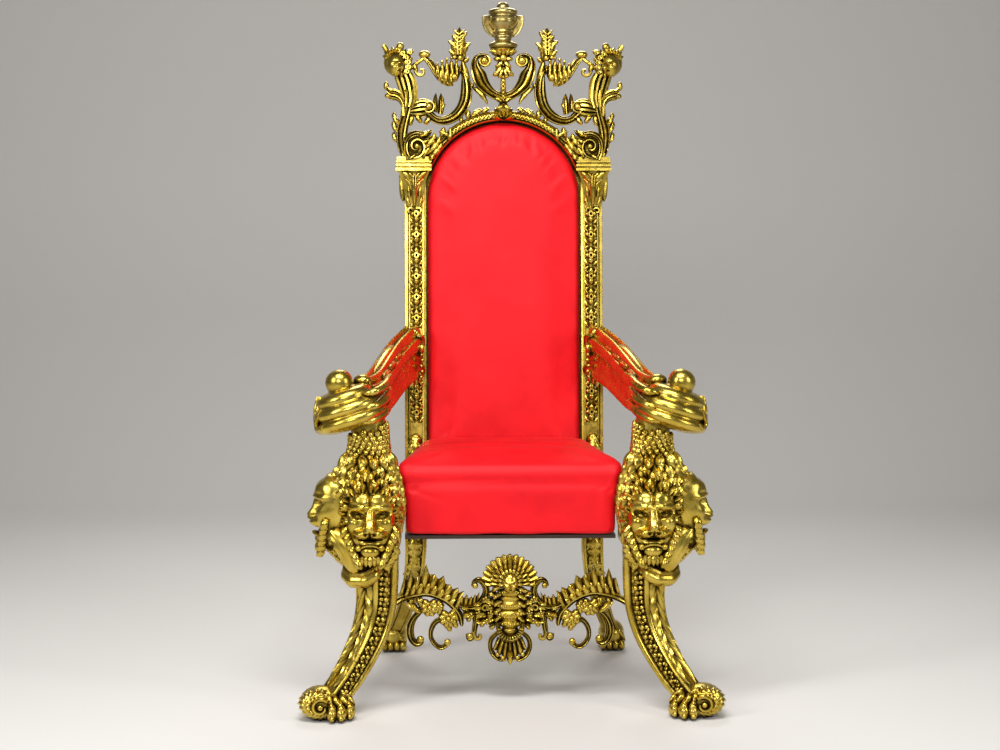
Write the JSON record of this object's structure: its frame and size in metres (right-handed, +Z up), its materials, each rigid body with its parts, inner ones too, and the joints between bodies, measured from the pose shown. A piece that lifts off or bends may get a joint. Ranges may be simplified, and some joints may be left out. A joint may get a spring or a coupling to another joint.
{
  "type": "throne",
  "caption": "Tall ceremonial armchair of carved gilded wood with lion-headed front legs, turned arm knobs, a pierced crest with an urn, and a red upholstered seat and arched back.",
  "frame": {"origin": "on the floor, at the centre of the bounding box", "axes": "+Z up, the front of the throne faces -Y, +X is on the right of someone looking at the front; left and right in the names are as that viewer sees them"},
  "size_m": [1.0864, 0.86, 1.85],
  "materials": {
    "gilding": "antique gold gilding over carved wood, glossy on the high parts with a brown glaze in the recesses",
    "dull_gilding": "duller antique gold gilding, satin",
    "red_cloth": "smooth bright red upholstery cloth, matt with a faint sheen",
    "board": "dark stained board, matt"
  },
  "bodies": {
    "root": {"left_back_post": "gilding", "right_back_post": "gilding", "crest": "gilding", "urn_finial": "dull_gilding", "back_pad": "red_cloth", "seat_frame": "board", "seat_cushion": "red_cloth", "left_lion_leg": "gilding", "right_lion_leg": "gilding", "left_armrest": "gilding", "right_armrest": "gilding", "front_stretcher": "gilding"}
  },
  "joints": []
}
